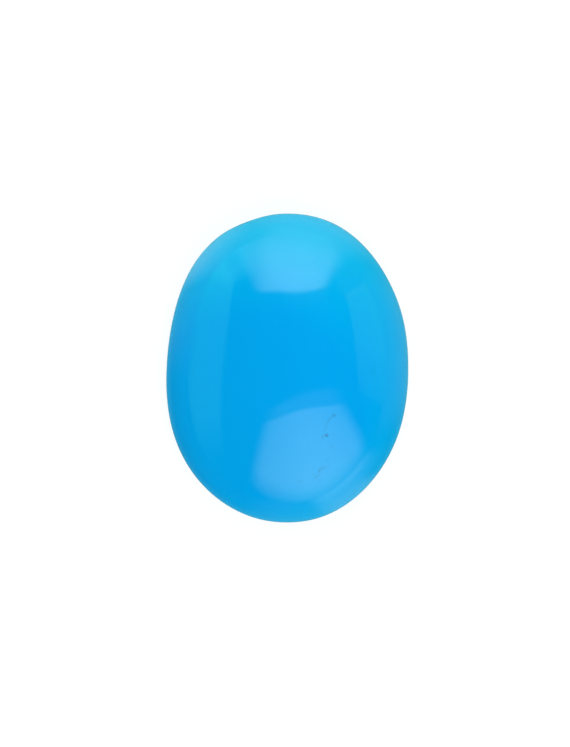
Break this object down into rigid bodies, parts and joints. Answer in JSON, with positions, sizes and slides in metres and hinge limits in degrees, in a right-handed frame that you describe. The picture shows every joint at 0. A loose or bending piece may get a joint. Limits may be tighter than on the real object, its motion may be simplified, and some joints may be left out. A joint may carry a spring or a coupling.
{
  "type": "oval turquoise cabochon",
  "caption": "Polished oval turquoise cabochon with a high dome and a flat back, to be set in a bezel or glued down as a jewellery stone.",
  "frame": {"origin": "centre of the flat back, which the stone lies on", "axes": "+X across the oval's width, +Y along its length, +Z out of the dome"},
  "size_m": [0.0142, 0.018, 0.0063],
  "materials": {
    "turquoise": "polished"
  },
  "bodies": {
    "root": {"turquoise_stone": "turquoise"}
  },
  "joints": []
}
